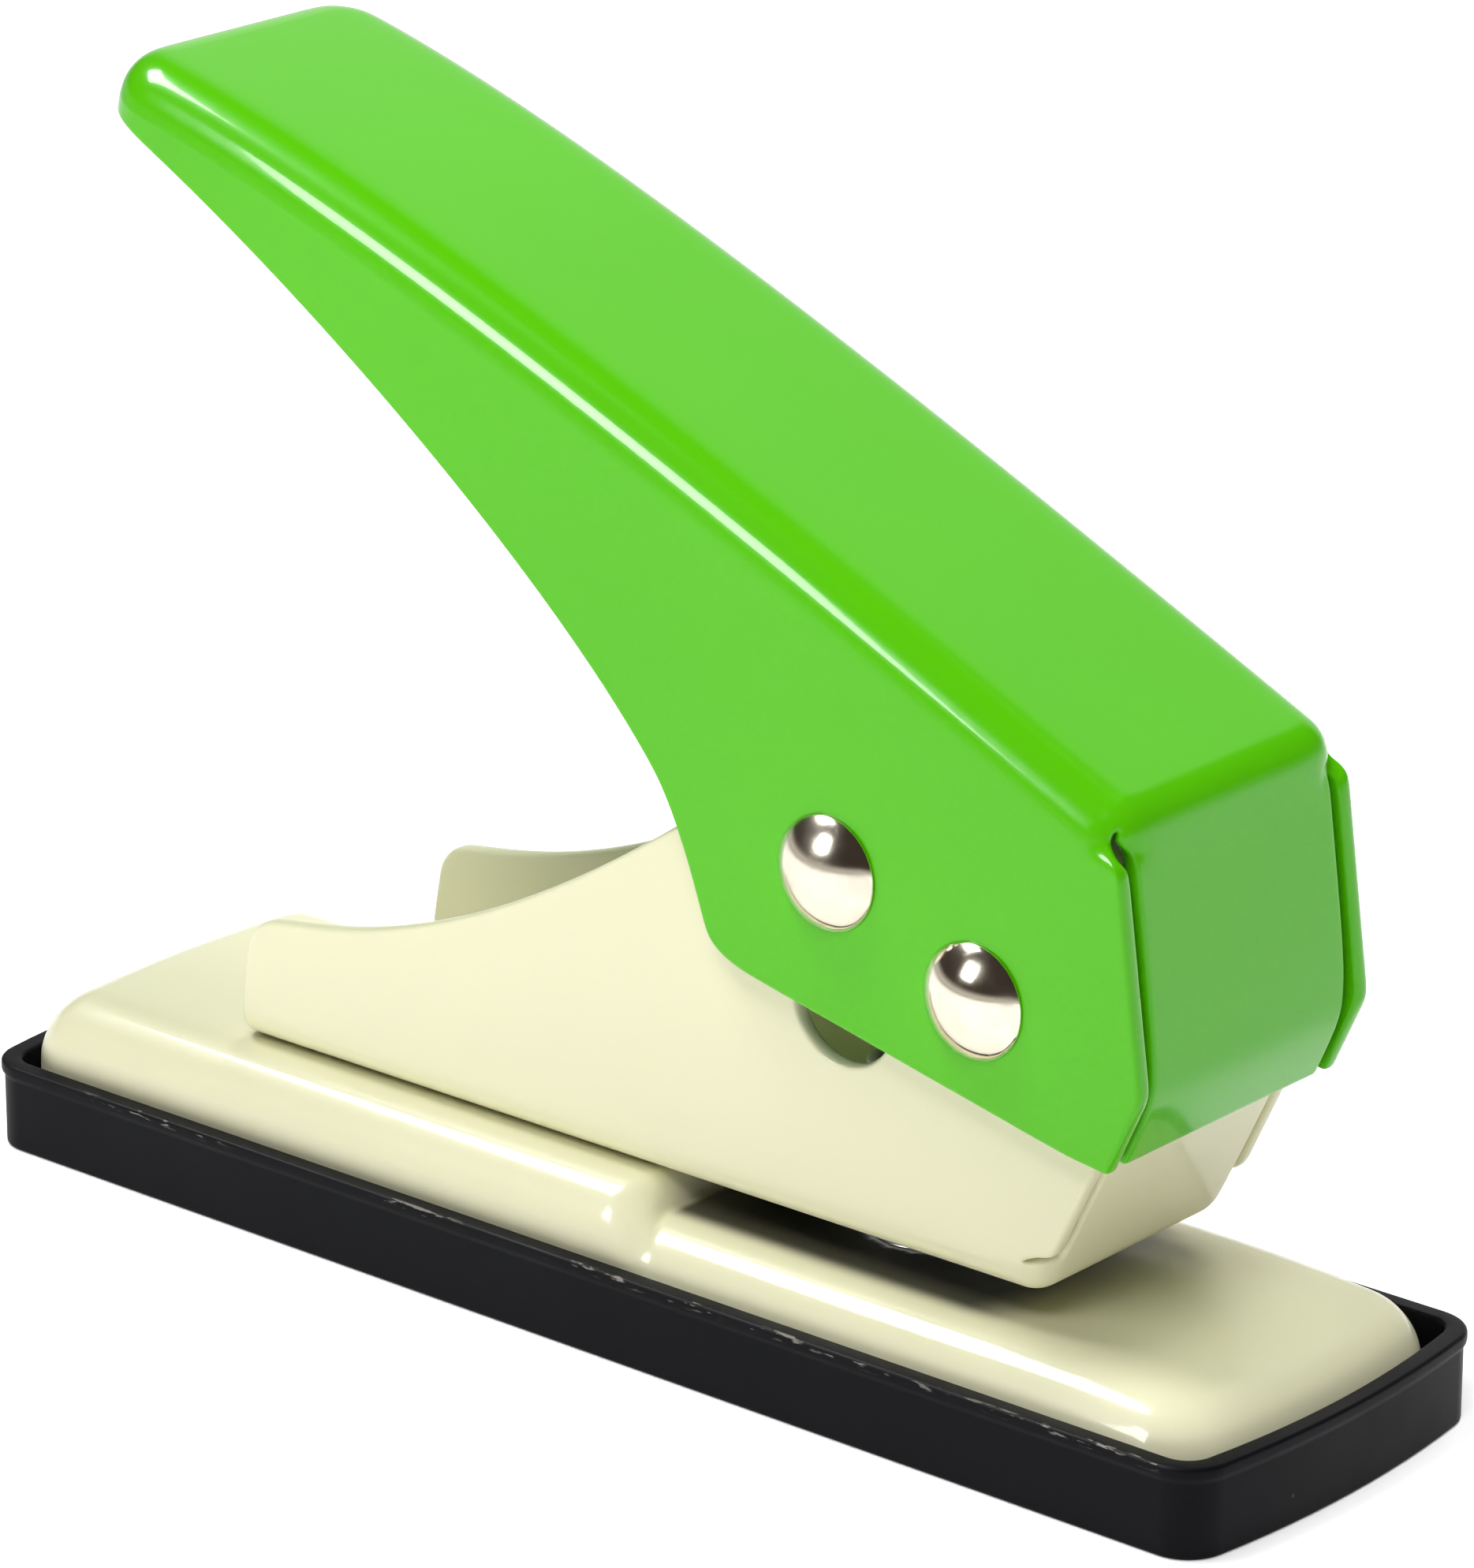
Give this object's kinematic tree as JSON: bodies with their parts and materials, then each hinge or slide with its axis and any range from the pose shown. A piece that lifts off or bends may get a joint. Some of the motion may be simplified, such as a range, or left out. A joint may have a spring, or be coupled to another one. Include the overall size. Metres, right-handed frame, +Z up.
{
  "type": "mini hole punch",
  "caption": "Small lever-operated paper punch with a sprung punch pin, a folded frame, a pressed base and a pull-off tray for the chips.",
  "frame": {"origin": "middle of the tray's flat underside", "axes": "+X along the punch, out of the paper throat; +Y across it; +Z up"},
  "size_m": [0.106, 0.03, 0.0778],
  "materials": {
    "lever_paint": "gloss lime-green enamel",
    "frame_paint": "satin cream enamel",
    "tray_plastic": "matt black moulding, slightly scuffed",
    "rivet_nickel": "polished nickel plate",
    "tool_steel": "ground and lightly oiled steel"
  },
  "bodies": {
    "tray": {"chip_tray": "tray_plastic"},
    "chassis": {"base": "frame_paint", "die_bush": "tool_steel", "frame": "frame_paint", "frame_rivet_front": "rivet_nickel", "frame_rivet_rear": "rivet_nickel", "punch_guide": "tool_steel", "pivot_spacer": "tool_steel", "return_spring": "tool_steel"},
    "lever": {"lever": "lever_paint", "pivot_rivet": "rivet_nickel", "drive_rivet": "rivet_nickel", "drive_sleeve": "tool_steel"},
    "punch": {"punch_pin": "tool_steel", "retaining_ring": "tool_steel"}
  },
  "joints": [
    {"name": "tray_lift", "type": "slide", "parent": "tray", "child": "chassis", "axis": [0, 0, 1], "range_m": [0, 0.012]},
    {"name": "lever_press", "type": "hinge", "parent": "chassis", "child": "lever", "pos_m": [0.0319, 0, 0.0307], "axis": [0, -1, 0], "range_deg": [0, 38], "stiffness_Nm_per_rad": 0.25, "springref_deg": -14.32},
    {"name": "punch_stroke", "type": "slide", "parent": "chassis", "child": "punch", "axis": [0, 0, -1], "range_m": [0, 0.0084], "deforming": ["return_spring"]}
  ],
  "couplings": [
    {"joint": "punch_stroke", "follows": "lever_press", "m_per_rad": 0.01252}
  ]
}
